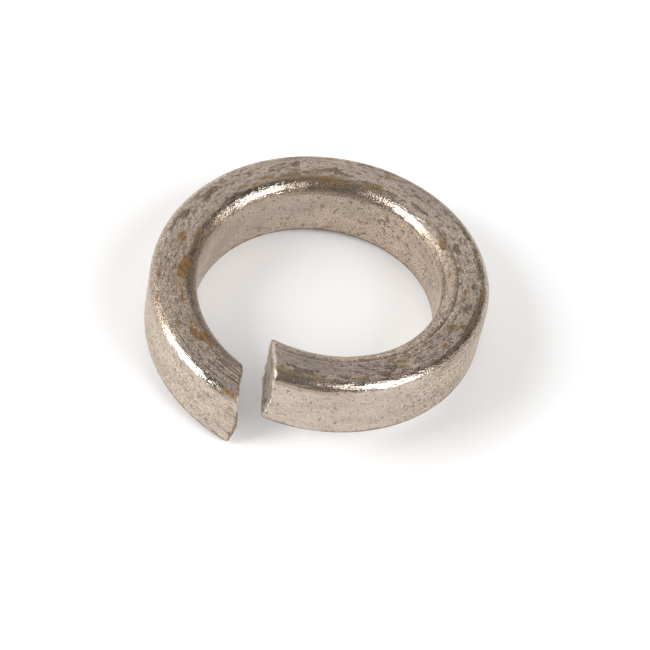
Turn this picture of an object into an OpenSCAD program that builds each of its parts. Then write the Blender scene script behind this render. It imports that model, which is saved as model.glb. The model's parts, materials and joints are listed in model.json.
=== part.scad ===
// Helical spring lock washer with a high collar, for a 5/16 in bolt.
// One coil of rounded rectangular wire whose two sheared ends stand apart.
// Lengths are in millimetres and angles in degrees.
// +Z is up from the surface the washer lies on, and the origin is where the bore's axis meets it.

/* [Bore and wire] */
// Diameter of the hole that the bolt passes through
bore_diameter = 8.08; // [7:0.01:10]
// Width of the wire, from the bore to the outer wall
wire_width = 1.60; // [1.3:0.01:2.2]
// Height of the wire, measured along the bore
wire_height = 2.36; // [2.1:0.01:3.2]

/* [Wire edges] */
// Edge radius between the top and the outer wall
outer_top_radius = 0.38; // [0.1:0.01:0.5]
// Edge radius between the top and the bore
inner_top_radius = 0.50; // [0.1:0.01:0.6]
// Edge radius between the underside and the outer wall
outer_foot_radius = 0.17; // [0.1:0.01:0.3]
// Edge radius between the underside and the bore
inner_foot_radius = 0.19; // [0.1:0.01:0.3]

/* [Coil] */
// Height that the wire climbs in one full turn
lead = 2.00; // [1:0.01:2.05]
// Angle left open between the two ends
gap_angle = 10.8; // [8:0.1:30]
// Direction of the middle of the gap, from +X towards +Y
gap_direction = -113.6; // [-180:0.1:180]

/* [Sheared ends] */
// Angle between the low end's cut and the radius through it
low_end_skew = 29; // [0:1:32]
// Angle between the raised end's cut and the radius through it
raised_end_skew = 25; // [0:1:32]
// Share of the wire's height, from the underside, over which both cuts lean
break_share = 0.45; // [0.3:0.01:0.6]
// Lean of the low end's cut at the outer foot
low_end_lean = 0.15; // [0:0.01:0.3]
// Lean of the raised end's cut at the outer foot
raised_end_lean = 0.20; // [0:0.01:0.3]
// Share of the wire's height, from the underside, over which the low end's cut swells
swell_share = 0.75; // [0.5:0.01:0.9]
// Swell of the low end's cut at the outer wall
low_end_swell = 0.09; // [0:0.01:0.15]
// Share of the wire's width, from the bore, over which the low end's top corner is drawn out
burr_share = 0.45; // [0.3:0.01:0.7]
// How far the low end's inner top corner is drawn out
low_end_burr = 0.09; // [0:0.01:0.12]
// Radius that the shear leaves round each cut
shear_roll = 0.09; // [0.05:0.01:0.1]

/* [Smoothness] */
// Turn between two rings of the swept wire
ring_step = 3; // [3:0.5:6]
// Segments in each rounded edge of the wire
edge_segments = 6; // [4:1:8]
// Segments in each flat side of the wire
side_segments = 5; // [4:1:6]
// Facets drawn on the round walls
wall_facets = 180; // [90:10:240]

/* [Hidden] */
steel_colour = [0.60, 0.54, 0.49];

bore_radius = bore_diameter / 2;
outer_radius = bore_radius + wire_width;
middle_radius = (bore_radius + outer_radius) / 2;

// The swept wire stands this much past both round walls, which two true cylinders then cut.
wall_stock = 0.02;
// Rings that draw the roll round a cut.
roll_rings = 3;
// The coil takes up the skew of a cut over this turn.
skew_turn = 36;
// Overrun of the cutting cylinders past the coil.
overrun = 1;

// The wire climbs clockwise seen from above, which suits a right-hand thread.
coil_turn = 360 - gap_angle;
low_end_direction = gap_direction - gap_angle / 2;
coil_height = wire_height + lead * coil_turn / 360;

// At rest the coil touches at the bore edge of its low end, and at the outer edge a little past
// half a turn, where the line between the two contacts runs under the middle of its mass.
near_contact = bore_radius + inner_foot_radius;
near_turn = (middle_radius - near_contact) * tan(low_end_skew) / near_contact * 180 / PI;
far_contact = outer_radius - outer_foot_radius;
far_turn = 185;

// Slopes of the surface seen from the coil: out through the low end, and on round from it.
contact_span = far_contact * [cos(far_turn), sin(far_turn)]
    - near_contact * [cos(near_turn), sin(near_turn)];
contact_rise = lead * (far_turn - near_turn) / 360;
wire_slope = lead / (2 * PI * far_contact);
slope_scale = contact_span * [cos(far_turn), sin(far_turn)];
slope_out = (contact_rise * cos(far_turn) - wire_slope * contact_span[1]) / slope_scale;
slope_on = (contact_rise * sin(far_turn) + wire_slope * contact_span[0]) / slope_scale;
rest_tilt = atan(norm([slope_out, slope_on]));
rest_lean_direction = low_end_direction - atan2(slope_on, slope_out);
rest_tilt_axis = [-sin(rest_lean_direction), cos(rest_lean_direction), 0];

// Points of an arc about [x, z], in edge_segments steps.
function arc(centre, radius, from, to) = [
    for (i = [0 : edge_segments])
    let (angle = from + (to - from) * i / edge_segments)
    centre + radius * [cos(angle), sin(angle)]
];

// Points of a flat side from one [x, z] to another, without the two ends.
function side(from, to) = [
    for (i = [1 : side_segments - 1])
    from + (to - from) * i / side_segments
];

// Section of the wire as [distance from the axis, height], drawn inset by the roll round a cut.
function wire_section(inset) =
    let (
        inner = bore_radius - wall_stock + inset,
        outer = outer_radius + wall_stock - inset,
        foot = inset,
        top = wire_height - inset,
        outer_foot = outer_foot_radius - inset,
        outer_top = outer_top_radius - inset,
        inner_top = inner_top_radius - inset,
        inner_foot = inner_foot_radius - inset
    )
    concat(
        arc([outer - outer_foot, foot + outer_foot], outer_foot, -90, 0),
        side([outer, foot + outer_foot], [outer, top - outer_top]),
        arc([outer - outer_top, top - outer_top], outer_top, 0, 90),
        side([outer - outer_top, top], [inner + inner_top, top]),
        arc([inner + inner_top, top - inner_top], inner_top, 90, 180),
        side([inner, top - inner_top], [inner, foot + inner_foot]),
        arc([inner + inner_foot, foot + inner_foot], inner_foot, 180, 270),
        side([inner + inner_foot, foot], [outer - outer_foot, foot])
    );

// Each end's cut as [skew, lean, swell, burr].
low_cut = [low_end_skew, low_end_lean, low_end_swell, low_end_burr];
raised_cut = [raised_end_skew, raised_end_lean, 0, 0];

// A value held between 0 and 1.
function share(value) = min(1, max(0, value));

// How far a cut lies along the wire at a point of the section, counted towards the raised end.
function cut_advance(point, cut) =
    let (
        outward = share((point[0] - bore_radius) / wire_width),
        upward = point[1] / wire_height,
        lean = cut[1] * outward * share(1 - upward / break_share),
        swell = cut[2] * outward * sin(180 * share(1 - upward / swell_share)),
        burr = cut[3] * sin(180 * share(outward / burr_share)) * share(2 * upward - 1)
    )
    lean - swell - burr - (point[0] - middle_radius) * tan(cut[0]);

// Share of an end's cut that the coil takes up at a turn away from that end.
function cut_share(turn) = max(0, 1 - turn / skew_turn);

// One point of the section, carried round the coil to the given turn from the low end.
function coil_point(point, turn) =
    let (
        advance = cut_advance(point, low_cut) * cut_share(turn)
            + cut_advance(point, raised_cut) * cut_share(coil_turn - turn),
        reached = turn + advance / point[0] * 180 / PI,
        direction = low_end_direction - reached
    )
    [point[0] * cos(direction), point[0] * sin(direction), point[1] + lead * reached / 360];

// The rings of the sweep as [turn, inset]: a rolled edge at each end and even steps between.
function ring_list() =
    let (
        roll_turn = shear_roll / middle_radius * 180 / PI,
        steps = ceil((coil_turn - 2 * roll_turn) / ring_step),
        roll = [
            for (i = [roll_rings : -1 : 1])
            let (angle = 90 * i / roll_rings)
            [roll_turn * (1 - sin(angle)), shear_roll * (1 - cos(angle))]
        ],
        middle = [
            for (i = [0 : steps])
            [roll_turn + (coil_turn - 2 * roll_turn) * i / steps, 0]
        ],
        last = [for (i = [roll_rings - 1 : -1 : 0]) [coil_turn - roll[i][0], roll[i][1]]]
    )
    concat(roll, middle, last);

// A ring's middle, which closes the end face as a fan.
function ring_centre(turn) = coil_point([middle_radius, wire_height / 2], turn);

// Height of a point over the surface once the coil has tilted to its rest.
function rest_height(point) =
    let (lean = [cos(rest_lean_direction), sin(rest_lean_direction)])
    point[2] * cos(rest_tilt) - (point[0] * lean[0] + point[1] * lean[1]) * sin(rest_tilt);

// The coil's wire, swept as one closed skin.
module swept_wire() {
    rings = ring_list();
    count = len(wire_section(0));
    skin = [for (ring = rings) for (point = wire_section(ring[1])) coil_point(point, ring[0])];
    ends = [ring_centre(0), ring_centre(coil_turn)];
    last = (len(rings) - 1) * count;
    sides = [
        for (r = [0 : len(rings) - 2])
        for (i = [0 : count - 1])
        let (a = r * count + i, b = r * count + (i + 1) % count)
        each [[a, b + count, b], [a, a + count, b + count]]
    ];
    low_face = [for (i = [0 : count - 1]) [len(skin), i, (i + 1) % count]];
    raised_face = [for (i = [0 : count - 1]) [len(skin) + 1, last + (i + 1) % count, last + i]];
    polyhedron(concat(skin, ends), concat(sides, low_face, raised_face), convexity = 6);
}

// A cylinder through the whole coil, with its seam in the gap.
module through_cylinder(radius) {
    rotate([0, 0, gap_direction])
        translate([0, 0, -overrun])
            cylinder(r = radius, h = coil_height + 2 * overrun, $fn = wall_facets);
}

// Lays the coil down on its low end and on the edge opposite, with the origin on the bore's axis.
module at_rest() {
    lowest = min([
        for (ring = ring_list())
        for (point = wire_section(ring[1]))
        rest_height(coil_point(point, ring[0]))
    ]);
    rotate(a = rest_tilt, v = rest_tilt_axis)
        translate([0, 0, -lowest / cos(rest_tilt)])
            children();
}

module washer() {
    color(steel_colour)
        at_rest()
            difference() {
                intersection() {
                    swept_wire();
                    through_cylinder(outer_radius);
                }
                through_cylinder(bore_radius);
            }
}

washer();
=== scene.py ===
"""Looks of the spring lock washer: its wire as a worn, grained and rust-spotted steel coil."""

import json
import math

import bpy
import numpy as np
from mathutils import Matrix, Vector


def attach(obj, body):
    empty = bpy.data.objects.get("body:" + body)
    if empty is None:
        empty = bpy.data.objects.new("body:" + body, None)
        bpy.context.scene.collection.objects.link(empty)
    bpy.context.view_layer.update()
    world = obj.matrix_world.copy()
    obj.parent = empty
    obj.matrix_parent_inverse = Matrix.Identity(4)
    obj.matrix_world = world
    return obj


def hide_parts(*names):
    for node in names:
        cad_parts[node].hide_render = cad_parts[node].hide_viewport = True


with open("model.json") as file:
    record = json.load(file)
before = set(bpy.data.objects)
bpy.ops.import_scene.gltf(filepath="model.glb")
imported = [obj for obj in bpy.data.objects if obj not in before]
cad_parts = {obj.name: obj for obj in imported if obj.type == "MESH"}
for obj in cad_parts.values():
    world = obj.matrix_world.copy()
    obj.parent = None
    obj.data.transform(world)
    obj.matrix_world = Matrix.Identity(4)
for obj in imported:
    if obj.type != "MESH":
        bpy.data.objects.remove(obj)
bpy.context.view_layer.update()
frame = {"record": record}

MM = 0.001
DEGREE = math.pi / 180
NODE = "washer"

# The bore's axis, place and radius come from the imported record.
BORE = next(mount for mount in frame["record"]["mounts"] if mount["name"] == "bore")
BORE_RADIUS = BORE["dims"]["r_mm"]

# The wire and its coil, in millimetres and degrees, as in the part's source.
WIRE_WIDTH = 1.60
WIRE_HEIGHT = 2.36
OUTER_TOP_RADIUS = 0.38
INNER_TOP_RADIUS = 0.50
OUTER_FOOT_RADIUS = 0.17
INNER_FOOT_RADIUS = 0.19
LEAD = 2.00
GAP_ANGLE = 10.8
GAP_DIRECTION = -113.6
BREAK_SHARE = 0.45
SWELL_SHARE = 0.75
BURR_SHARE = 0.45
LOW_CUT = dict(skew=29.0, lean=0.15, swell=0.09, burr=0.09)
RAISED_CUT = dict(skew=25.0, lean=0.20, swell=0.0, burr=0.0)
SHEAR_ROLL = 0.09
SKEW_TURN = 36.0
# The raised end's cut is rolled over a little further than in the part's source.
RAISED_ROLL = 0.13
# The resting surface crosses the bore's axis at this height of the coil's own frame.
SURFACE_ON_AXIS = 0.4596

OUTER_RADIUS = BORE_RADIUS + WIRE_WIDTH
MIDDLE_RADIUS = BORE_RADIUS + WIRE_WIDTH / 2
COIL_TURN = 360.0 - GAP_ANGLE
LOW_END_DIRECTION = GAP_DIRECTION - GAP_ANGLE / 2

# Points round the section on each edge and face, and rings along the wire.
ROUND_COUNTS = dict(
    outer_foot=6, outer_wall=34, outer_top=12, top=22, inner_top=22, bore=20, inner_foot=6, under=12
)
RING_COUNT = 620
ROLL_RINGS = 8
FACE_RINGS = 15

# Flat faces of the wire, with the side of the section that each faces: outwards and upwards.
FACE_SIDES = dict(outer_wall=(1, 0), bore=(-1, 0), top=(0, 1), under=(0, -1))

# Layers of noise, each as its scale by axis, its offset and its share.
SKIN_WAVES = [((1.1, 2.2, 2.2), 5, 0.0040), ((4.0, 7.0, 7.0), 9, 0.0022)]
SPOT_EDGES = [((5, 9, 1), 31, 1.0), ((12, 20, 1), 77, 0.6)]
TORN_FACES = [((4, 2.5, 1), 0, 1.0), ((14, 5, 1), 3, 0.5)]
TORN_EDGES = [((6, 6, 1), 0, 1.0), ((15, 15, 1), 3, 0.6)]

# Seeds of those layers. Each layer of a list takes the next number.
SKIN_SEED, TORN_FACE_SEED, RUST_SEED, STAIN_AND_SHADE_SEED, TORN_EDGE_SEED = 11, 13, 15, 17, 19

# Roughness of the sheared ends: how far a torn face and its edge stray, and how far along the wire
# the edge's straying reaches.
TEAR_DEPTH = 0.030
EDGE_STRAY = 0.022
STRAY_REACH = 0.12
# Shifts of the places at which the two ends read a noise, so that they tear differently.
FACE_SHIFT, EDGE_SHIFT = 20, 40.0


# ---------------------------------------------------------------- smooth seeded noise


def noise(points, seed):
    """Smooth noise from -1 to 1 at (n, 3) points, with features about one unit across."""
    size = 64
    block = np.random.default_rng(seed).random((size, size, size))
    cell = np.floor(points).astype(int)
    part = points - cell
    ease = part * part * (3 - 2 * part)
    total = np.zeros(len(points))
    for corner in np.ndindex(2, 2, 2):
        weight = np.prod(np.where(corner, ease, 1 - ease), axis=1)
        i, j, k = ((cell + corner) % size).T
        total += weight * block[i, j, k]
    return 2 * total - 1


def layered_noise(points, layers, seed):
    """Noise added up over layers of (scale by axis, offset, share)."""
    return sum(
        share * noise(points * np.array(scale) + offset, seed + step)
        for step, (scale, offset, share) in enumerate(layers)
    )


def hump(value, centre, half_width):
    """A smooth hump of height 1 about centre."""
    return np.exp(-(((value - centre) / half_width) ** 2))


def ease_between(value, low, high):
    """Rises smoothly from 0 at low to 1 at high."""
    share = np.clip((value - low) / (high - low), 0, 1)
    return share * share * (3 - 2 * share)


# ---------------------------------------------------------------- the wire's section


def arc(centre, radius, start, count):
    """A quarter circle of section points with their normals."""
    angle = (start + 90 * np.arange(count) / count) * DEGREE
    normal = np.stack([np.cos(angle), np.sin(angle)], 1)
    return np.array(centre) + radius * normal, normal


def straight(start, end, count, normal):
    """A straight run of section points with their normals."""
    share = (np.arange(count) / count)[:, None]
    points = np.array(start) + share * (np.array(end) - np.array(start))
    return points, np.tile(np.array(normal, float), (count, 1))


def wire_section():
    """The wire's section as (distance from axis, height) points, normals and face names."""
    inner, outer, top = BORE_RADIUS, OUTER_RADIUS, WIRE_HEIGHT
    counts = ROUND_COUNTS
    foot_o, foot_i = OUTER_FOOT_RADIUS, INNER_FOOT_RADIUS
    top_o, top_i = OUTER_TOP_RADIUS, INNER_TOP_RADIUS
    middle = (inner + outer) / 2
    half = counts["under"] // 2
    wall_ends = (outer, foot_o), (outer, top - top_o)
    runs = [
        ("under", straight((middle, 0), (outer - foot_o, 0), half, (0, -1))),
        ("outer_foot", arc((outer - foot_o, foot_o), foot_o, -90, counts["outer_foot"])),
        ("outer_wall", straight(*wall_ends, counts["outer_wall"], (1, 0))),
        ("outer_top", arc((outer - top_o, top - top_o), top_o, 0, counts["outer_top"])),
        ("top", straight((outer - top_o, top), (inner + top_i, top), counts["top"], (0, 1))),
        ("inner_top", arc((inner + top_i, top - top_i), top_i, 90, counts["inner_top"])),
        ("bore", straight((inner, top - top_i), (inner, foot_i), counts["bore"], (-1, 0))),
        ("inner_foot", arc((inner + foot_i, foot_i), foot_i, 180, counts["inner_foot"])),
        ("under", straight((inner + foot_i, 0), (middle, 0), counts["under"] - half, (0, -1))),
    ]
    points = np.vstack([run[0] for name, run in runs])
    normals = np.vstack([run[1] for name, run in runs])
    names = sum(([name] * len(run[0]) for name, run in runs), [])
    return points, normals, names


def section_lengths(section):
    """Distance round the section to each of its points."""
    steps = np.linalg.norm(np.diff(section, axis=0), axis=1)
    return np.concatenate([[0], np.cumsum(steps)])


def upper_place(section, names, out):
    """Distance round the section of a place on its upper side, from its way out from the bore."""
    picked = [i for i, name in enumerate(names) if name in ("outer_top", "top", "inner_top")]
    outward = section[picked, 0][::-1] - BORE_RADIUS
    return np.interp(out, outward, section_lengths(section)[picked][::-1])


def band_across(section, names, out, half_width):
    """A smooth band about a place on the section's upper side, as one row."""
    return hump(section_lengths(section), upper_place(section, names, out), half_width)[None, :]


# ---------------------------------------------------------------- the coil


def wire_length(turn):
    """Distance along the middle of the wire over a turn, in millimetres."""
    return turn * DEGREE * MIDDLE_RADIUS


def wire_place(radius, height, reached):
    """Where a point lies on the wire: along it, out from the axis and up, in millimetres."""
    return np.stack([wire_length(reached), radius, height], -1).reshape(-1, 3)


def cut_advance(radius, height, cut):
    """How far a sheared cut lies along the wire at a point of the section."""
    outward = np.clip((radius - BORE_RADIUS) / WIRE_WIDTH, 0, 1)
    upward = height / WIRE_HEIGHT
    lean = cut["lean"] * outward * np.clip(1 - upward / BREAK_SHARE, 0, 1)
    swell = cut["swell"] * outward * np.sin(math.pi * np.clip(1 - upward / SWELL_SHARE, 0, 1))
    burr = cut["burr"] * np.sin(math.pi * np.clip(outward / BURR_SHARE, 0, 1))
    skew = (radius - MIDDLE_RADIUS) * math.tan(cut["skew"] * DEGREE)
    return lean - swell - burr * np.clip(2 * upward - 1, 0, 1) - skew


def reached_turn(radius, height, turn):
    """Turn from the low end that a ring's point reaches, with the cuts' shape taken up."""
    low = np.clip(1 - turn / SKEW_TURN, 0, None)
    raised = np.clip(1 - (COIL_TURN - turn) / SKEW_TURN, 0, None)
    advance = cut_advance(radius, height, LOW_CUT) * low
    advance = advance + cut_advance(radius, height, RAISED_CUT) * raised
    return turn + advance / radius / DEGREE


def coil_points(radius, height, reached):
    """Points on the coil in its own frame, with the bore's axis along Z."""
    direction = (LOW_END_DIRECTION - reached) * DEGREE
    return np.stack(
        [radius * np.cos(direction), radius * np.sin(direction), height + LEAD * reached / 360], -1
    )


def ragged_edge(radius, height, turns):
    """How far the torn edge of each cut strays along the wire near that cut, in millimetres."""
    spread = np.broadcast_to(turns[:, None], radius.shape)
    away = wire_length(np.minimum(spread, COIL_TURN - spread))
    place = radius + np.where(spread < COIL_TURN / 2, 0.0, EDGE_SHIFT)
    at = np.stack([place, height, 0 * radius], -1).reshape(-1, 3)
    stray = layered_noise(at, TORN_EDGES, TORN_EDGE_SEED).reshape(radius.shape)
    return EDGE_STRAY * stray * np.exp(-away / STRAY_REACH)


def ring_turns():
    """Turn, inset and share of the roll of each ring: a rolled edge at each cut, even between."""
    angle = np.linspace(90, 0, ROLL_RINGS, endpoint=False) * DEGREE
    roll = np.stack([1 - np.sin(angle), 1 - np.cos(angle), 1 - np.cos(angle)], 1)
    low_turn, raised_turn = (r / MIDDLE_RADIUS / DEGREE for r in (SHEAR_ROLL, RAISED_ROLL))
    low = roll * [low_turn, SHEAR_ROLL, 1]
    raised = roll[::-1] * [-raised_turn, RAISED_ROLL, 1] + [COIL_TURN, 0, 0]
    steps = RING_COUNT - 2 * ROLL_RINGS
    middle = np.zeros((steps, 3))
    middle[:, 0] = np.linspace(low_turn, COIL_TURN - raised_turn, steps)
    return np.vstack([low, middle, raised])


def to_row_frame(points):
    """Row-frame metres from millimetres in the coil's own frame, laid along the record's bore."""
    axis = Vector(BORE["axis"]).normalized()
    turn = np.array(Vector((0, 0, 1)).rotation_difference(axis).to_matrix())
    return (points - [0, 0, SURFACE_ON_AXIS]) @ turn.T * MM + np.array(BORE["pos_m"])


# ---------------------------------------------------------------- wear in the shape, with some painted shade and sheen

# Lines along the wire: way out from the bore, depth, half width, the turn about which each
# shows, how far it runs and how dark it is. Lengths are in millimetres. Most are lines that the
# drawing die left; the rows at 1.22, 1.565 and 1.57 out are painted shade on the outer top edge.
DRAWN_LINES_AND_SHADE = [
    (0.03, 0.010, 0.030, 335, 12, 0.7),
    (0.06, 0.020, 0.035, 240, 24, 0.9),
    (0.49, 0.020, 0.030, 252, 32, 1.0),
    (0.49, 0.014, 0.028, 318, 34, 0.8),
    (0.70, 0.007, 0.030, 335, 14, 0.5),
    (1.05, 0.007, 0.040, 330, 25, 0.3),
    (0.58, 0.007, 0.045, 14, 16, 0.60),
    (0.68, 0.008, 0.055, 5, 9, 0.72),
    (0.82, 0.009, 0.055, 6, 9, 0.60),
    (0.97, 0.008, 0.055, 7, 10, 0.75),
    # Painted shade: a dark band along the top of the highlight on the outer top edge.
    (1.22, 0.006, 0.035, 20, 16, 0.70),
    (0.96, 0.005, 0.050, 285, 20, 0.0),
    (1.24, 0.006, 0.045, 225, 22, 0.7),
    (1.30, 0.008, 0.040, 262, 22, 0.8),
    # Painted shade: dark bands on the outer top edge, where it mirrors dark surroundings.
    (1.565, 0.002, 0.055, 339, 11, 1.0),
    (1.57, 0.002, 0.050, 280, 12, 0.5),
]

# Bands worn paler, the first also a painted sheen: way out from the bore, half width, and the turns
# between which each shows.
PALE_BANDS = [
    # Painted sheen: the pale band on the inner top edge, where it mirrors light.
    (0.27, 0.15, 228, 270),
    (0.34, 0.08, 290, 345),
    (0.10, 0.12, 8, 30),
]

# Nicks: way out from the bore, turn, half length, half width and depth.
NICKS = [
    (0.42, 262, 0.35, 0.08, 0.020),
    (0.20, 252, 0.20, 0.08, 0.018),
    (1.42, 8, 0.10, 0.12, 0.005),
    (0.86, 205, 0.25, 0.09, 0.010),
    (1.36, 318, 0.16, 0.08, 0.010),
]

# Burr that the shear threw up on the raised end's outer edge: its height over the wall, its place
# and half length along the wire, and its beads as (height up the wall, strength).
BURR_HEIGHT = 0.07
BURR_PLACE, BURR_HALF_LENGTH = 0.05, 0.07
BEAD_HALF_HEIGHT = 0.06
BURR_BEADS = [(0.42, 1.0), (0.72, 0.5), (0.96, 1.0), (1.30, 0.4), (1.66, 0.4), (2.10, 1.0)]


def burr_beads(section, turns):
    """Height of the burr over the raised end's outer edge, ring by ring, in millimetres."""
    near = hump(wire_length(COIL_TURN - turns), BURR_PLACE, BURR_HALF_LENGTH)
    outer = ease_between(section[:, 0], OUTER_RADIUS - 0.3, OUTER_RADIUS - 0.1)
    beads = sum(
        strength * hump(section[:, 1], height, BEAD_HALF_HEIGHT) for height, strength in BURR_BEADS
    )
    return BURR_HEIGHT * near[:, None] * (outer * beads)[None, :]


def surface_wear(section, names, turns, radius, height, reached):
    """Height of the worn surface over the true one, ring by ring, in millimetres."""
    waves = layered_noise(wire_place(radius, height, reached), SKIN_WAVES, SKIN_SEED)
    wear = waves.reshape(reached.shape) + burr_beads(section, turns)
    for out, depth, half_width, turn, run, _ in DRAWN_LINES_AND_SHADE:
        across = band_across(section, names, out, half_width)
        wear -= depth * across * hump(turns, turn, run)[:, None]
    for out, turn, half_length, half_width, depth in NICKS:
        across = band_across(section, names, out, half_width)
        wear -= depth * across * hump(wire_length(reached - turn), 0, half_length)
    return wear


# ---------------------------------------------------------------- rust, stains and painted shade

# Rust: turn, way out from the bore, half length and half width in millimetres, and strength.
RUST_SPOTS = [
    (0.5, 1.43, 0.22, 0.08, 0.9),
    (22.5, 0.48, 0.32, 0.13, 1.0),
    (24.5, 0.78, 0.10, 0.06, 0.7),
    (25, 0.60, 0.24, 0.14, 0.95),
    (27.5, 0.70, 0.34, 0.20, 1.0),
    (34, 1.00, 0.18, 0.11, 0.8),
    (41, 0.38, 0.08, 0.06, 0.7),
    (45, 0.62, 0.22, 0.08, 0.7),
    (47, 1.45, 0.10, 0.07, 0.6),
    (48, 0.58, 0.16, 0.08, 0.7),
    (48.5, 0.86, 0.11, 0.06, 0.8),
    (56.5, 1.32, 0.16, 0.09, 0.95),
    (57.5, 0.58, 0.20, 0.11, 0.9),
    (62.5, 0.48, 0.62, 0.19, 1.0),
    (61.5, 0.80, 0.12, 0.08, 0.5),
    (65.5, 0.54, 0.16, 0.09, 0.9),
    (77, 0.82, 0.19, 0.11, 0.95),
    (82, 0.36, 0.12, 0.10, 0.9),
    (87.5, 0.62, 0.16, 0.06, 0.6),
    (90, 0.95, 0.15, 0.06, 0.4),
    (108.5, 1.12, 0.20, 0.08, 0.5),
    (114.5, 0.62, 0.26, 0.08, 0.7),
    (117, 0.38, 0.12, 0.09, 0.8),
    (122, 0.38, 0.14, 0.06, 0.8),
    (125.5, 0.64, 0.24, 0.09, 0.7),
    (138, 0.76, 0.22, 0.11, 0.8),
    (146, 1.48, 0.10, 0.08, 0.6),
    (147.5, 0.74, 0.24, 0.08, 0.7),
    (150.5, 0.42, 0.18, 0.08, 1.0),
    (152.5, 0.22, 0.22, 0.14, 0.9),
    (163, 0.38, 0.10, 0.09, 0.7),
    (173, 0.38, 0.14, 0.12, 0.9),
    (175.5, 1.10, 0.16, 0.08, 0.7),
    (189.5, 0.95, 0.12, 0.06, 0.6),
    (219, 0.30, 0.24, 0.10, 0.85),
    (227, 0.45, 0.12, 0.09, 0.5),
    (237, 0.22, 0.14, 0.07, 0.5),
    (246.5, 1.36, 0.12, 0.07, 0.9),
    (247, 0.76, 0.12, 0.07, 0.9),
    (266, 0.27, 0.14, 0.06, 0.5),
    (266.5, 0.98, 0.14, 0.08, 0.6),
    (267.5, 0.78, 0.12, 0.10, 0.9),
    (278.5, 1.07, 0.14, 0.08, 0.85),
    (283.5, 0.76, 0.15, 0.08, 0.8),
    (298.5, 0.78, 0.16, 0.08, 0.8),
    (298.5, 1.02, 0.12, 0.08, 0.8),
    (316, 1.22, 0.36, 0.06, 0.7),
    (326, 0.75, 0.12, 0.08, 0.5),
    (6, 0.20, 1.20, 0.16, 0.36),
    (26, 0.50, 0.90, 0.34, 0.36),
    (58, 0.55, 1.20, 0.32, 0.38),
    (72, 0.26, 2.20, 0.20, 0.40),
    (112, 0.52, 0.80, 0.12, 0.36),
    (138, 0.52, 1.00, 0.14, 0.42),
    (152, 0.34, 1.30, 0.26, 0.46),
    (173, 0.40, 0.50, 0.16, 0.40),
    (213, 0.40, 0.60, 0.20, 0.38),
    (248, 1.36, 1.40, 0.10, 0.36),
    (339, 1.30, 0.90, 0.14, 0.36),
]

# Dark stains, given as the rust is. Three rows are painted shade: dark bands beside the highlights
# on the upper edges.
STAINS_AND_SHADE = [
    (17, 1.12, 0.26, 0.12, 0.55),
    (34.5, 1.30, 0.18, 0.12, 0.5),
    (66, 1.40, 0.22, 0.09, 0.6),
    (81, 1.30, 0.37, 0.09, 0.8),
    (80.5, 1.08, 0.15, 0.08, 0.5),
    (87, 1.15, 0.22, 0.12, 0.8),
    (98, 1.00, 0.18, 0.12, 0.8),
    (103, 1.10, 0.29, 0.11, 0.8),
    # Painted shade: a dark band beside the highlight on the inner top edge.
    (108, 0.47, 0.37, 0.11, 0.7),
    (128, 0.95, 0.18, 0.08, 0.7),
    (132, 1.10, 0.26, 0.09, 0.6),
    (134, 0.58, 0.37, 0.08, 0.8),
    (138, 0.54, 0.24, 0.09, 0.9),
    (138, 1.40, 0.26, 0.09, 0.8),
    (138.5, 1.06, 0.20, 0.12, 0.8),
    (143.5, 0.62, 0.26, 0.09, 0.6),
    (149.5, 0.35, 0.26, 0.04, 1.0),
    (151, 0.76, 0.29, 0.09, 0.8),
    (154.5, 0.90, 0.18, 0.09, 0.6),
    (157, 0.66, 0.31, 0.09, 0.8),
    (161.5, 0.66, 0.20, 0.09, 0.8),
    (165, 1.32, 0.26, 0.09, 0.8),
    (170, 0.52, 0.37, 0.08, 0.9),
    (173.5, 1.40, 0.29, 0.09, 0.9),
    # Painted shade: a dark band beside the highlight on the inner top edge.
    (182, 0.46, 0.48, 0.08, 0.8),
    (185, 0.75, 0.22, 0.14, 0.5),
    (190, 0.95, 0.18, 0.08, 0.6),
    (194.5, 1.45, 0.29, 0.11, 0.8),
    (195, 0.54, 0.53, 0.09, 0.7),
    (208, 1.40, 0.24, 0.09, 0.6),
    (212, 0.50, 0.40, 0.09, 0.6),
    (214.5, 1.34, 0.31, 0.11, 0.8),
    (217.5, 0.38, 0.11, 0.12, 1.0),
    (220, 0.47, 0.13, 0.04, 0.8),
    (222.5, 0.70, 0.26, 0.14, 0.9),
    (224, 1.34, 0.33, 0.09, 0.8),
    (233, 1.27, 0.44, 0.08, 0.9),
    (234, 0.55, 0.18, 0.03, 0.9),
    (242, 1.02, 0.26, 0.08, 0.6),
    (243, 0.54, 0.11, 0.03, 0.8),
    (247, 1.32, 0.55, 0.08, 0.9),
    (252, 0.52, 0.13, 0.03, 1.0),
    (255.5, 0.90, 0.29, 0.18, 0.8),
    (256, 0.50, 0.13, 0.04, 1.0),
    (258, 1.30, 0.44, 0.14, 1.0),
    (264.5, 1.12, 0.22, 0.11, 0.7),
    (265, 1.28, 0.40, 0.14, 1.0),
    (302, 0.95, 0.31, 0.12, 0.8),
    # Painted shade: a dark band beside the highlight on the outer top edge.
    (306.5, 1.15, 0.26, 0.11, 0.8),
    (321, 1.13, 0.31, 0.12, 0.8),
    (337, 1.12, 0.70, 0.15, 0.8),
]


# In half sizes of a spot: how far out it fades to nothing, and how much its ragged edge strays.
SPOT_REACH = 1.5
SPOT_STRAY = 0.6


def spot_field(spots, section, names, reached, seed):
    """Strength of a list of ragged spots at each point of the wire's skin."""
    lengths = section_lengths(section)
    along = wire_length(reached)
    round_section = np.broadcast_to(lengths[None, :], along.shape)
    at = np.stack([along, round_section, 0 * along], -1).reshape(-1, 3)
    ragged = layered_noise(at, SPOT_EDGES, seed).reshape(along.shape)
    total = np.zeros(along.shape)
    for turn, out, half_length, half_width, strength in spots:
        far = wire_length(reached - turn) / half_length
        across = (lengths - upper_place(section, names, out))[None, :] / half_width
        closeness = SPOT_REACH - np.sqrt(far**2 + across**2) + SPOT_STRAY * ragged
        total = np.maximum(total, strength * np.clip(closeness, 0, 1))
    return total
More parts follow.
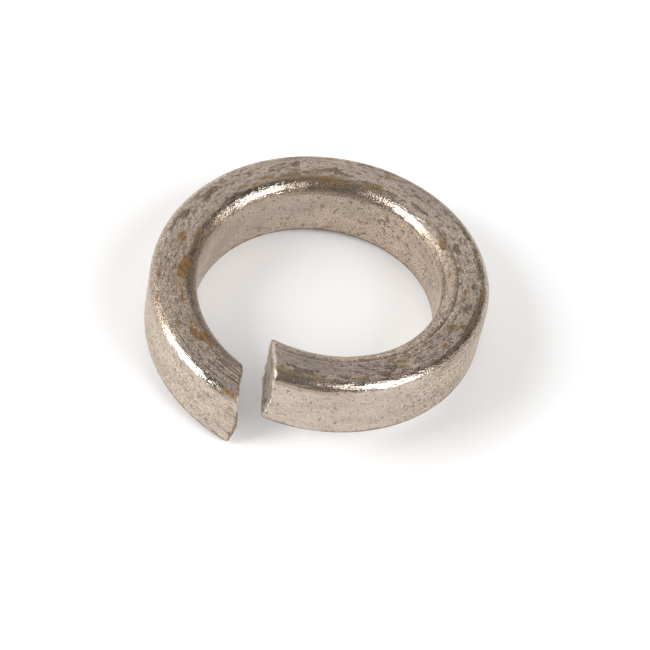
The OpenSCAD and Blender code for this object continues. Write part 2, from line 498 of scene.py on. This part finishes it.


# ---------------------------------------------------------------- finish along the wire, with painted shade and sheen

# Each list below gives a finish of one edge or face as (turn, amount).

# How far each edge of the wire is worn to a polish.
POLISH = dict(
    outer_top=[
        (0, 0.1), (5, 0.42), (10, 0.9), (290, 0.95), (300, 0.75), (322, 0.75), (332, 0.85),
        (345, 0.8), (349, 0.45),
    ],
    inner_top=[(0, 1.0), (200, 1.0), (211, 0.6), (228, 0.25), (262, 0.25), (285, 0.8), (349, 1.0)],
    outer_foot=[(0, 0.5), (349, 0.5)],
    inner_foot=[(0, 0.5), (349, 0.5)],
)

# Brown tarnish on the two upper edges, with painted shade in it: it also darkens the edges where
# they mirror dark surroundings, and cuts highlights short.
TARNISH_AND_SHADE = dict(
    outer_top=[
        (0, 0.1), (7, 0.0), (29, 0.0), (38, 0.7), (95, 0.5), (135, 0.8), (210, 0.8), (232, 0.4),
        (245, 0.2), (262, 0.6), (286, 0.5), (297, 0.0), (320, 0.0), (330, 0.6), (349, 0.7),
    ],
    inner_top=[
        (0, 0.3), (40, 0.5), (60, 0.6), (92, 0.4), (100, 0.1), (128, 0.1), (140, 0.9), (170, 0.8),
        (180, 0.2), (200, 0.1), (212, 0.5), (240, 0.4), (349, 0.2),
    ],
)

# Dullness that lies in small smears.
DULLNESS = dict(
    outer_wall=[(0, 0.36), (18, 0.30), (40, 0.05), (60, 0.0), (349, 0.0)],
    top=[
        (0, 0.0), (40, 0.25), (95, 0.42), (225, 0.4), (250, 0.38), (268, 0.5), (305, 0.5),
        (325, 0.36), (349, 0.15),
    ],
)

# How strongly the steel is grained.
GRAIN = dict(
    outer_wall=[
        (0, 0.35), (5, 0.5), (25, 0.65), (60, 0.8), (250, 0.8), (284, 1.0), (304, 0.35),
        (349, 0.3),
    ],
    bore=[(0, 0.6), (95, 0.4), (140, 0.6), (185, 1.0), (225, 0.9), (349, 0.6)],
    top=[
        (0, 0.7), (30, 0.85), (60, 0.9), (100, 0.45), (200, 0.45), (225, 0.85), (250, 0.7),
        (270, 0.65), (300, 0.85), (320, 0.5), (335, 0.3), (349, 0.25),
    ],
    under=[(0, 0.7), (349, 0.7)],
    outer_top=[
        (0, 0.5), (6, 0.15), (27, 0.15), (36, 0.9), (60, 0.9), (240, 0.9), (288, 0.6),
        (298, 0.15), (319, 0.15), (330, 0.08), (349, 0.08),
    ],
    inner_top=[
        (0, 0.4), (60, 0.6), (98, 0.7), (106, 0.15), (130, 0.15), (139, 0.6), (145, 0.3),
        (165, 0.3), (175, 0.6), (184, 0.15), (204, 0.15), (214, 0.9), (270, 1.0), (349, 0.7),
    ],
)

# Share of each side of a rounded edge over which a finish fades out.
SOFT_EDGE = 0.45
TARNISH_AND_SHADE_SOFT_EDGE = 0.15

# Painted contact shade on each foot, fading out between two heights, and painted shade down the low
# end's cut on the outer wall, where the cut face lies in shade.
OUTER_FOOT_SHADE, INNER_FOOT_SHADE = 0.70, 0.85
FOOT_SHADE_TOP = (0.10, 0.30)
CUT_SHADE_HEIGHT, CUT_SHADE_HALF_HEIGHT = 0.9, 1.0
CUT_SHADE_HALF_LENGTH = 0.10

# Turn over which a pale band fades in and out.
PALE_FADE = 6


def amount_by_turn(amounts, turns):
    """An amount given at some turns, read at every ring, as one column."""
    return np.interp(turns, *zip(*amounts))[:, None]


def edge_share(names, edge, soft):
    """1 over a rounded edge at each section point, fading to 0 over a soft share of each side."""
    share = np.zeros(len(names))
    picked = [i for i, name in enumerate(names) if name == edge]
    part = (np.arange(len(picked)) + 0.5) / len(picked)
    share[picked] = ease_between(1 - np.abs(2 * part - 1), 0.0, soft)
    return share


def edge_field(finish, soft, names, turns):
    """A finish of the rounded edges at each point of each ring."""
    return sum(
        amount_by_turn(amounts, turns) * edge_share(names, edge, soft)[None, :]
        for edge, amounts in finish.items()
    )


def face_field(finish, normals, turns):
    """A finish of the flat faces at each point of each ring, shared between them at the edges."""
    return sum(
        amount_by_turn(finish[face], turns) * np.clip(normals @ np.array(side), 0, 1)[None, :] ** 2
        for face, side in FACE_SIDES.items()
        if face in finish
    )


def grain_field(names, normals, turns):
    """Strength of the grain at each point of each ring, with its own on the two upper edges."""
    total = face_field(GRAIN, normals, turns)
    for edge in ("outer_top", "inner_top"):
        own = amount_by_turn(GRAIN[edge], turns)
        total += edge_share(names, edge, SOFT_EDGE)[None, :] * (own - total)
    return total


def line_and_shade_field(section, names, turns):
    """Darkness of the drawn lines, and of the bands of painted shade among them, at each point of
    each ring.
    """
    total = np.zeros((len(turns), len(section)))
    for out, _, half_width, turn, run, dark in DRAWN_LINES_AND_SHADE:
        across = band_across(section, names, out, half_width)
        shown = ease_between(1.2 - np.abs(turns - turn) / run, 0.0, 0.5)[:, None]
        total = np.maximum(total, dark * across * shown)
    return total


def pale_field(section, names, turns):
    """How far each point of each ring is pale: worn, and on the inner top edge's band a painted
    sheen.
    """
    total = np.zeros((len(turns), len(section)))
    for out, half_width, start, end in PALE_BANDS:
        shown = ease_between(turns, start - PALE_FADE, start + PALE_FADE)
        shown = shown * ease_between(-turns, -end - PALE_FADE, PALE_FADE - end)
        total = np.maximum(total, band_across(section, names, out, half_width) * shown[:, None])
    return total


def painted_shade_field(section, names, turns):
    """Painted shade along both foot edges, where they meet the floor, and down the low end's cut
    edge on the outer wall.
    """
    height = section[:, 1]
    outer = np.isin(names, ("outer_wall", "outer_foot"))
    inner = np.isin(names, ("bore", "inner_foot"))
    foot = (OUTER_FOOT_SHADE * outer + INNER_FOOT_SHADE * inner) * (
        1 - ease_between(height, *FOOT_SHADE_TOP)
    )
    wall = outer * hump(height, CUT_SHADE_HEIGHT, CUT_SHADE_HALF_HEIGHT)
    near = hump(wire_length(turns), 0.0, CUT_SHADE_HALF_LENGTH)
    return np.maximum(foot[None, :], near[:, None] * wall[None, :])


# ---------------------------------------------------------------- building the mesh

# Values that the mesh carries to its material at each point. "wire_mm" is the place on the wire.
# "cut" rises from 0 to 1 over the roll at a cut, and on to 2 at the middle of the torn face.
SURFACE_VALUES = ("wire_mm", "grain", "polish", "tarnish", "pale", "dull", "rust", "stain", "cut")
# How strongly the torn faces are grained.
CUT_GRAIN = 0.8
# Space between the parts of the bake's flat layout, in millimetres, and strips that the wire makes.
LAYOUT_GAP = 0.15
LAYOUT_STRIPS = 4


class Skin:
    """Gathers points, faces and surface values of the wire."""

    def __init__(self):
        self.points, self.faces = [], []
        self.values = {name: [] for name in SURFACE_VALUES}
        self.total = 0

    def add_place(self, radius, height, reached, **values):
        """Adds points of the wire with their surface values, and gives the index of the first."""
        first = self.total
        points = coil_points(radius, height, reached).reshape(-1, 3)
        self.points.append(points)
        values["wire_mm"] = wire_place(radius, height, reached)
        for name, held in self.values.items():
            value = values.get(name, 0.0)
            held.append(value if name == "wire_mm" else np.zeros(len(points)) + np.ravel(value))
        self.total += len(points)
        return first

    def make_mesh(self, mesh_name):
        """A smooth mesh of all that was gathered."""
        mesh = bpy.data.meshes.new(mesh_name)
        mesh.from_pydata(to_row_frame(np.vstack(self.points)).tolist(), [], self.faces)
        for name, held in self.values.items():
            vector = name == "wire_mm"
            value = mesh.attributes.new(name, "FLOAT_VECTOR" if vector else "FLOAT", "POINT")
            numbers = np.concatenate(held).astype(np.float32).ravel()
            value.data.foreach_set("vector" if vector else "value", numbers)
        mesh.polygons.foreach_set("use_smooth", [True] * len(mesh.polygons))
        return mesh


def add_sides(skin, ring_total, count):
    """Joins each ring to the next round the whole section."""
    here = np.arange(count)
    after = (here + 1) % count
    for ring in range(ring_total - 1):
        a, b = ring * count, (ring + 1) * count
        skin.faces += np.stack([a + here, a + after, b + after, b + here], 1).tolist()


def add_cut(skin, raised, outline, first, turn):
    """Closes one sheared end with rings that shrink to its middle, torn rough."""
    outline_radius, outline_height, outline_turn = outline
    count = len(outline_radius)
    here = np.arange(count)
    after = (here + 1) % count
    side = 1 if raised else -1
    strayed = outline_turn - reached_turn(outline_radius, outline_height, turn)
    last = first + here
    for step in range(1, FACE_RINGS + 1):
        share = 1 - step / (FACE_RINGS + 1)
        edge_hold = share**4
        radius = MIDDLE_RADIUS + (outline_radius - MIDDLE_RADIUS) * share
        height = WIRE_HEIGHT / 2 + (outline_height - WIRE_HEIGHT / 2) * share
        at = np.stack([radius + FACE_SHIFT * side, height, 0 * radius], -1)
        rough = layered_noise(at, TORN_FACES, TORN_FACE_SEED)
        torn = side * TEAR_DEPTH * rough * (1 - edge_hold) / MIDDLE_RADIUS / DEGREE
        reached = reached_turn(radius, height, turn) + torn + strayed * edge_hold
        start = skin.add_place(radius, height, reached, grain=CUT_GRAIN, cut=2.0 - share)
        quad = np.stack([last, last[after], start + after, start + here], 1)
        skin.faces += (quad if raised else quad[:, ::-1]).tolist()
        last = start + here
    radius, height = np.array([MIDDLE_RADIUS]), np.array([WIRE_HEIGHT / 2])
    reached = reached_turn(radius, height, turn)
    centre = skin.add_place(radius, height, reached, grain=CUT_GRAIN, cut=2.0)
    fan = np.stack([last, last[after], np.full(count, centre)], 1)
    skin.faces += (fan if raised else fan[:, ::-1]).tolist()


def lay_out(mesh, section, turns, places):
    """Lays the skin out flat for a bake: the wire in two rows of strips, the cuts beside them."""
    lengths = section_lengths(np.vstack([section, section[:1]]))
    along = wire_length(turns)
    strip_rings = math.ceil((len(turns) - 1) / LAYOUT_STRIPS)
    column = along[strip_rings] + 2 * LAYOUT_GAP
    row = lengths[-1] + LAYOUT_GAP

    ring, here = np.divmod(np.arange((len(turns) - 1) * len(section)), len(section))
    strip = ring // strip_rings
    strip_end = along[np.minimum((strip + 1) * strip_rings, len(turns) - 1)]
    corner = np.stack([along[ring], along[ring], along[ring + 1], along[ring + 1]], 1)
    across = (strip % 2 * column + strip_end)[:, None] - corner
    up = np.stack([lengths[here], lengths[here + 1], lengths[here + 1], lengths[here]], 1)
    up = up + (strip // 2 * row)[:, None]
    sides = np.stack([across.ravel(), up.ravel()], 1)

    vertex = np.empty(len(mesh.loops), int)
    mesh.loops.foreach_get("vertex_index", vertex)
    length, radius, height = places[vertex[len(sides) :]].T
    raised = length > along[-1] / 2
    out = np.where(raised, radius - BORE_RADIUS, OUTER_RADIUS - radius)
    up = height + (WIRE_HEIGHT + 2 * LAYOUT_GAP) * raised
    cuts = np.stack([2 * column + out, up], 1)
    width = 2 * column + WIRE_WIDTH + 3 * LAYOUT_GAP
    flat = (np.vstack([sides, cuts]) + LAYOUT_GAP) / width
    layer = mesh.uv_layers.new(name="OFBake", do_init=False)
    layer.uv.foreach_set("vector", flat.astype(np.float32).ravel())


def build_wire():
    """The wire as one dense closed mesh, with its wear in the geometry."""
    section, normals, names = wire_section()
    turns, insets, rolled = ring_turns().T
    radius = section[None, :, 0] - insets[:, None] * normals[None, :, 0]
    height = section[None, :, 1] - insets[:, None] * normals[None, :, 1]
    reached = reached_turn(radius, height, turns[:, None])
    reached = reached + ragged_edge(radius, height, turns) / radius / DEGREE
    wear = surface_wear(section, names, turns, radius, height, reached)
    radius = radius + wear * normals[None, :, 0]
    height = height + wear * normals[None, :, 1]

    # Stains, plus painted shade by the highlights, on the outer top edge, at the feet and by the
    # low cut.
    stain = spot_field(STAINS_AND_SHADE, section, names, reached, STAIN_AND_SHADE_SEED)
    stain = np.maximum(stain, line_and_shade_field(section, names, turns))
    stain = np.maximum(stain, painted_shade_field(section, names, turns))

    skin = Skin()
    count, ring_total = len(section), len(turns)
    skin.add_place(
        radius,
        height,
        reached,
        grain=grain_field(names, normals, turns),
        polish=edge_field(POLISH, SOFT_EDGE, names, turns),
        tarnish=edge_field(TARNISH_AND_SHADE, TARNISH_AND_SHADE_SOFT_EDGE, names, turns),
        pale=pale_field(section, names, turns),
        dull=face_field(DULLNESS, normals, turns),
        rust=spot_field(RUST_SPOTS, section, names, reached, RUST_SEED),
        stain=stain,
        cut=np.repeat(rolled, count),
    )
    add_sides(skin, ring_total, count)
    add_cut(skin, False, (radius[0], height[0], reached[0]), 0, turns[0])
    last = (ring_total - 1) * count
    add_cut(skin, True, (radius[-1], height[-1], reached[-1]), last, turns[-1])

    mesh = skin.make_mesh("wire")
    lay_out(mesh, section, turns, np.concatenate(skin.values["wire_mm"]))
    mesh.update()
    wire = bpy.data.objects.new("washer_wire", mesh)
    bpy.context.scene.collection.objects.link(wire)
    return wire


# ---------------------------------------------------------------- the steel


def rgb(red, green, blue):
    """A colour of full opacity."""
    return (red, green, blue, 1.0)


# Colours of the steel, of what lies on it, and of the painted shade and sheen.
COLOURS = dict(
    smooth_steel=rgb(0.52, 0.445, 0.38),
    grained_steel=rgb(0.65, 0.53, 0.43),
    # Worn steel, also the colour of a painted sheen on the inner top edge.
    worn_steel=rgb(0.70, 0.57, 0.47),
    pit=rgb(0.17, 0.13, 0.10),
    fleck=rgb(0.19, 0.135, 0.095),
    smear=rgb(0.20, 0.152, 0.11),
    # Stains, and the painted shade beside the highlights, along the feet and down the low end's
    # cut.
    stain=rgb(0.16, 0.118, 0.08),
    # Tarnish, also painting shade where the upper edges mirror dark surroundings.
    tarnish=rgb(0.24, 0.175, 0.115),
    rust_film=rgb(0.27, 0.18, 0.09),
    cut_lip=rgb(0.72, 0.64, 0.56),
    torn_dark=rgb(0.20, 0.165, 0.135),
    torn_pale=rgb(0.60, 0.53, 0.46),
    rust_dark=rgb(0.15, 0.09, 0.045),
    rust_pale=rgb(0.34, 0.18, 0.055),
)

# Noises of the steel: scale along the wire, out from the axis and up, then detail and roughness.
STEEL_NOISES = dict(
    grain=((25, 27, 27), 1.0, 0.5),
    streaks=((1.0, 12, 12), 2.0, 0.5),
    scuffs=((13, 3, 3), 2.0, 0.5),
    mottle=((0.9, 1.8, 1.8), 3.0, 0.6),
    patches=((2.2, 7.5, 7.5), 2.5, 0.6),
    smears=((3.0, 8.5, 8.5), 2.0, 0.6),
    speckle=((6, 8, 8), 2.0, 0.6),
    tearing=((2.0, 5.0, 1.8), 3.0, 0.6),
)


class Graph:
    """Short names for the nodes of one material."""

    def __init__(self, name):
        self.material = bpy.data.materials.new(name)
        self.material.use_nodes = True
        self.nodes = self.material.node_tree.nodes
        self.links = self.material.node_tree.links
        self.shader = self.nodes["Principled BSDF"]

    def feed(self, socket, value):
        """Links a value's socket, or sets the number itself."""
        if isinstance(value, bpy.types.NodeSocket):
            self.links.new(value, socket)
        else:
            socket.default_value = value

    def attribute(self, name):
        """A surface value of the mesh."""
        node = self.nodes.new("ShaderNodeAttribute")
        node.attribute_name = name
        return node.outputs["Vector"] if name == "wire_mm" else node.outputs["Fac"]

    def math(self, operation, first, second, clamp=False):
        """A sum of two values."""
        node = self.nodes.new("ShaderNodeMath")
        node.operation = operation
        node.use_clamp = clamp
        self.feed(node.inputs[0], first)
        self.feed(node.inputs[1], second)
        return node.outputs[0]

    def times(self, first, second):
        """One value times another."""
        return self.math("MULTIPLY", first, second)

    def plus(self, first, second):
        """One value plus another."""
        return self.math("ADD", first, second)

    def noise(self, vector, scale, detail, roughness):
        """Noise with a scale by axis."""
        stretch = self.nodes.new("ShaderNodeVectorMath")
        stretch.operation = "MULTIPLY"
        self.feed(stretch.inputs[0], vector)
        stretch.inputs[1].default_value = scale
        node = self.nodes.new("ShaderNodeTexNoise")
        self.feed(node.inputs["Vector"], stretch.outputs[0])
        node.inputs["Scale"].default_value = 1.0
        node.inputs["Detail"].default_value = detail
        node.inputs["Roughness"].default_value = roughness
        return node.outputs["Fac"]

    def dots(self, vector, scale, radius, kept):
        """Small round dots of a radius in cells, of which a share is kept."""
        node = self.nodes.new("ShaderNodeTexVoronoi")
        self.feed(node.inputs["Vector"], vector)
        node.inputs["Scale"].default_value = scale
        chosen = self.nodes.new("ShaderNodeSeparateColor")
        self.feed(chosen.inputs[0], node.outputs["Color"])
        dot = self.span(node.outputs["Distance"], radius, 1.6 * radius, 1.0, 0.0)
        return self.times(dot, self.span(chosen.outputs[0], 1 - kept, 1.05 - kept))

    def span(self, value, low, high, to_low=0.0, to_high=1.0):
        """Maps a value smoothly from one span to another."""
        node = self.nodes.new("ShaderNodeMapRange")
        node.interpolation_type = "SMOOTHSTEP"
        self.feed(node.inputs["Value"], value)
        node.inputs["From Min"].default_value = low
        node.inputs["From Max"].default_value = high
        node.inputs["To Min"].default_value = to_low
        node.inputs["To Max"].default_value = to_high
        return node.outputs["Result"]

    def blend(self, share, first, second, mode="MIX"):
        """Mixes two colours."""
        node = self.nodes.new("ShaderNodeMix")
        node.data_type = "RGBA"
        node.blend_type = mode
        self.feed(node.inputs[0], share)
        self.feed(node.inputs[6], first)
        self.feed(node.inputs[7], second)
        return node.outputs[2]

    def bump(self, height, depth_mm, under):
        """Relief of a depth in millimetres, over other relief or none."""
        node = self.nodes.new("ShaderNodeBump")
        self.feed(node.inputs["Height"], height)
        node.inputs["Distance"].default_value = depth_mm * MM
        if under is not None:
            self.links.new(under, node.inputs["Normal"])
        return node.outputs["Normal"]


def steel_masks(graph, noises):
    """How far each kind of wear, dirt and painted shade shows, from 0 to 1."""
    grain, patches = noises["grain"], noises["patches"]
    coarse, cut, spots = (graph.attribute(name) for name in ("grain", "cut", "rust"))

    flecks = graph.plus(noises["speckle"], graph.times(coarse, 0.05))
    dull = graph.plus(noises["smears"], graph.times(graph.attribute("dull"), 0.30))
    # Stains, together with the painted shade that the mesh carries with them.
    stain = graph.span(graph.plus(graph.attribute("stain"), patches), 0.92, 1.06)
    stain = graph.times(stain, graph.span(grain, 0.35, 0.65, 1.1, 0.7))
    # Tarnish, which also paints shade on the upper edges and cuts highlights short.
    tarnish = graph.span(patches, 0.25, 0.55, 0.6, 1.0)
    tarnish = graph.times(graph.attribute("tarnish"), tarnish)
    tarnish = graph.times(tarnish, graph.span(grain, 0.35, 0.65, 1.1, 0.75))
    lip = graph.times(graph.span(cut, 0.1, 0.5), graph.span(cut, 1.06, 1.2, 1.0, 0.0))
    ragged = graph.plus(
        graph.times(graph.math("SUBTRACT", patches, 0.5), 0.9),
        graph.times(graph.math("SUBTRACT", grain, 0.5), 0.7),
    )
    return dict(
        pits=graph.dots(graph.attribute("wire_mm"), 5.5, 0.12, 0.5),
        flecks=graph.span(flecks, 0.61, 0.69),
        smears=graph.span(dull, 0.66, 0.73),
        stain=stain,
        tarnish=tarnish,
        rust_film=graph.times(graph.span(spots, 0.05, 0.40), graph.span(patches, 0.30, 0.60)),
        lip=graph.times(lip, graph.span(stain, 0.0, 0.6, 1.0, 0.0)),
        torn=graph.span(cut, 1.06, 1.24),
        rust=graph.span(graph.plus(spots, ragged), 0.32, 0.95),
    )


def steel_colour(graph, noises, masks):
    """Warm grey metal, grained, mottled and pitted, under its smears, stains, tarnish, rust and
    torn ends, with painted shade and a painted sheen among them.
    """
    coarse = graph.attribute("grain")
    # Pale bands: wear, and on the inner top edge a painted sheen.
    worn = graph.times(graph.attribute("pale"), 0.5)
    mottled = graph.span(noises["mottle"], 0.35, 0.65, 0.88, 1.04)
    grained = graph.span(noises["grain"], 0.35, 0.65, 0.42, 1.42)
    torn = graph.span(noises["tearing"], 0.36, 0.60)
    torn = graph.blend(torn, COLOURS["torn_dark"], COLOURS["torn_pale"])
    flaked = graph.span(noises["speckle"], 0.36, 0.60)
    flaked = graph.blend(flaked, COLOURS["rust_dark"], COLOURS["rust_pale"])

    colour = graph.blend(coarse, COLOURS["smooth_steel"], COLOURS["grained_steel"])
    colour = graph.blend(1.0, colour, mottled, "MULTIPLY")
    colour = graph.blend(worn, colour, COLOURS["worn_steel"])
    colour = graph.blend(coarse, colour, grained, "MULTIPLY")
    for mask, strength, paint in (
        ("pits", 0.60, COLOURS["pit"]),
        ("flecks", 0.70, COLOURS["fleck"]),
        ("smears", 0.60, COLOURS["smear"]),
        ("stain", 0.78, COLOURS["stain"]),
        ("tarnish", 0.75, COLOURS["tarnish"]),
        ("rust_film", 0.65, COLOURS["rust_film"]),
        ("lip", 0.60, COLOURS["cut_lip"]),
        ("torn", 0.80, torn),
        ("rust", 0.92, flaked),
    ):
        colour = graph.blend(graph.times(masks[mask], strength), colour, paint)
    return colour


def steel_roughness(graph, noises, masks):
    """Smooth where polished or sheared, rougher under grain, tarnish and rust."""
    rough = graph.span(graph.attribute("polish"), 0.0, 1.0, 0.44, 0.17)
    rough = graph.plus(rough, graph.span(noises["grain"], 0.3, 0.7, -0.05, 0.05))
    for mask, change in (("tarnish", 0.14), ("lip", -0.12), ("rust", 0.30)):
        rough = graph.math("ADD", rough, graph.times(masks[mask], change), clamp=True)
    return rough


def steel_metal(graph, masks):
    """Bare metal, less where rust and tarnish cover it."""
    film, tarnish = graph.times(masks["rust_film"], 0.8), graph.times(masks["tarnish"], 0.6)
    covered = graph.math("MAXIMUM", masks["rust"], graph.math("MAXIMUM", film, tarnish))
    return graph.span(covered, 0.0, 1.0, 1.0, 0.65)


def steel_relief(graph, noises, masks):
    """Relief too fine for the mesh: grain, pits, drawn streaks, scuffed edges and torn ends."""
    scuffed = graph.times(noises["scuffs"], graph.span(noises["patches"], 0.40, 0.60))
    relief = None
    for height, depth_mm in (
        (graph.times(noises["grain"], graph.attribute("grain")), 0.020),
        (graph.times(masks["pits"], -1.0), 0.012),
        (noises["streaks"], 0.010),
        (graph.times(scuffed, graph.attribute("polish")), 0.012),
        (graph.times(noises["tearing"], masks["torn"]), 0.040),
    ):
        relief = graph.bump(height, depth_mm, relief)
    return relief


def steel_material():
    """Warm grey drawn steel: grained, pitted, stained, spotted with rust, polished on its edges,
    with painted shade and a painted sheen in its colour.
    """
    graph = Graph("washer_steel")
    place = graph.attribute("wire_mm")
    noises = {name: graph.noise(place, *values) for name, values in STEEL_NOISES.items()}
    masks = steel_masks(graph, noises)
    inputs = graph.shader.inputs
    graph.feed(inputs["Base Color"], steel_colour(graph, noises, masks))
    graph.feed(inputs["Roughness"], steel_roughness(graph, noises, masks))
    graph.feed(inputs["Metallic"], steel_metal(graph, masks))
    graph.feed(inputs["Normal"], steel_relief(graph, noises, masks))
    return graph.material


# ---------------------------------------------------------------- lights, floor and camera

# Soft boxes: name, azimuth, elevation, width and height in metres, and power in watts.
SOFT_BOXES = [
    ("left_box", 192, 31, (0.85, 1.30), 20.5),
    ("right_box", 330, 36, (0.85, 1.05), 15.5),
]
LAMP_DISTANCE = 1.5

# Spans of closeness to a direction, with the world's brightness at each end: a pale screen behind
# the washer, and white paper from the floor up to just past the horizon.
SCREEN_DIRECTION = (-0.42, 0.78, 0.47)
SCREEN_SPAN = (0.55, 0.97, 0.15, 1.08)
HORIZON_SPAN = (0.08, 0.13, 1.0, 0.0)
UP = (0, 0, 1)

# The white sheet: half its side in metres, its grey, and the light it adds for what sees it.
FLOOR_HALF = 0.4
FLOOR_GREY = 0.94
FLOOR_LIFT = 0.13
WHITE = rgb(1.0, 1.0, 1.0)

# The photograph's view, in degrees and millimetres. The camera looks at the target from -Y.
CAMERA_ELEVATION = 52.37
CAMERA_ROLL = 3.2
CAMERA_DISTANCE = 90.75
CAMERA_TARGET = (0.510, -0.894, 1.311)
LENS, SENSOR_WIDTH = 150.5, 36


def soft_box(name, azimuth, elevation, size, power):
    """A rectangular area lamp on the studio's sphere, facing the washer."""
    data = bpy.data.lights.new(name, "AREA")
    data.shape = "RECTANGLE"
    data.size, data.size_y = size
    data.energy = power
    lamp = bpy.data.objects.new(name, data)
    bpy.context.scene.collection.objects.link(lamp)
    a, e = azimuth * DEGREE, elevation * DEGREE
    lamp.location = LAMP_DISTANCE * Vector(
        (math.cos(a) * math.cos(e), math.sin(a) * math.cos(e), math.sin(e))
    )
    lamp.rotation_euler = (-lamp.location).to_track_quat("-Z", "Y").to_euler()


def seen_ray(nodes, links):
    """1 for rays from the camera, from gloss and through glass, else 0."""
    path = nodes.new("ShaderNodeLightPath")
    total = path.outputs["Is Camera Ray"]
    for name in ("Is Glossy Ray", "Is Transmission Ray"):
        either = nodes.new("ShaderNodeMath")
        either.operation = "MAXIMUM"
        links.new(total, either.inputs[0])
        links.new(path.outputs[name], either.inputs[1])
        total = either.outputs[0]
    return total


def make_floor():
    """A plain white sheet under the washer, which keeps its shadow."""
    half = FLOOR_HALF
    corners = [(-half, -half, 0), (half, -half, 0), (half, half, 0), (-half, half, 0)]
    mesh = bpy.data.meshes.new("floor")
    mesh.from_pydata(corners, [], [(0, 1, 2, 3)])
    floor = bpy.data.objects.new("floor", mesh)
    bpy.context.scene.collection.objects.link(floor)
    material = bpy.data.materials.new("paper")
    material.use_nodes = True
    nodes, links = material.node_tree.nodes, material.node_tree.links
    shader = nodes["Principled BSDF"]
    shader.inputs["Base Color"].default_value = rgb(FLOOR_GREY, FLOOR_GREY, FLOOR_GREY)
    shader.inputs["Roughness"].default_value = 1.0
    shader.inputs["Specular IOR Level"].default_value = 0.0
    white = nodes.new("ShaderNodeEmission")
    white.inputs["Color"].default_value = WHITE
    lift = nodes.new("ShaderNodeMath")
    lift.operation = "MULTIPLY"
    lift.inputs[1].default_value = FLOOR_LIFT
    links.new(seen_ray(nodes, links), lift.inputs[0])
    links.new(lift.outputs[0], white.inputs["Strength"])
    both = nodes.new("ShaderNodeAddShader")
    links.new(shader.outputs[0], both.inputs[0])
    links.new(white.outputs[0], both.inputs[1])
    links.new(both.outputs[0], nodes["Material Output"].inputs["Surface"])
    mesh.materials.append(material)


def make_camera():
    """The photograph's view: steep, close and slightly rolled."""
    elevation, distance = CAMERA_ELEVATION * DEGREE, CAMERA_DISTANCE * MM
    target = Vector(CAMERA_TARGET) * MM
    back = Vector((0, -math.cos(elevation), math.sin(elevation)))
    data = bpy.data.cameras.new("camera")
    data.lens = LENS
    data.sensor_width = SENSOR_WIDTH
    data.clip_start = 1 * MM
    data.clip_end = 10
    camera = bpy.data.objects.new("camera", data)
    bpy.context.scene.collection.objects.link(camera)
    roll = Matrix.Rotation(CAMERA_ROLL * DEGREE, 3, "Z")
    turn = (-back).to_track_quat("-Z", "Y").to_matrix() @ roll
    camera.matrix_world = Matrix.Translation(target + back * distance) @ turn.to_4x4()
    bpy.context.scene.camera = camera


def make_world():
    """A dim studio with a pale screen behind the washer, and white paper past the horizon."""
    world = bpy.data.worlds.new("studio")
    bpy.context.scene.world = world
    world.use_nodes = True
    nodes, links = world.node_tree.nodes, world.node_tree.links
    where = nodes.new("ShaderNodeTexCoord")

    def level(direction, span):
        """Brightness over a span of closeness to a direction."""
        facing = nodes.new("ShaderNodeVectorMath")
        facing.operation = "DOT_PRODUCT"
        facing.inputs[1].default_value = Vector(direction).normalized()
        links.new(where.outputs["Generated"], facing.inputs[0])
        amount = nodes.new("ShaderNodeMapRange")
        amount.interpolation_type = "SMOOTHSTEP"
        for name, value in zip(("From Min", "From Max", "To Min", "To Max"), span):
            amount.inputs[name].default_value = value
        links.new(facing.outputs["Value"], amount.inputs["Value"])
        return amount.outputs["Result"]

    both = nodes.new("ShaderNodeMath")
    both.operation = "MAXIMUM"
    links.new(level(SCREEN_DIRECTION, SCREEN_SPAN), both.inputs[0])
    links.new(level(UP, HORIZON_SPAN), both.inputs[1])
    background = nodes["Background"]
    background.inputs["Color"].default_value = WHITE
    links.new(both.outputs[0], background.inputs["Strength"])


# ---------------------------------------------------------------- the scene

bpy.context.scene.view_settings.view_transform = "Standard"
make_camera()
make_world()
make_floor()
for values in SOFT_BOXES:
    soft_box(*values)

wire = build_wire()
wire.data.materials.append(steel_material())
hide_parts(NODE)
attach(wire, "root")
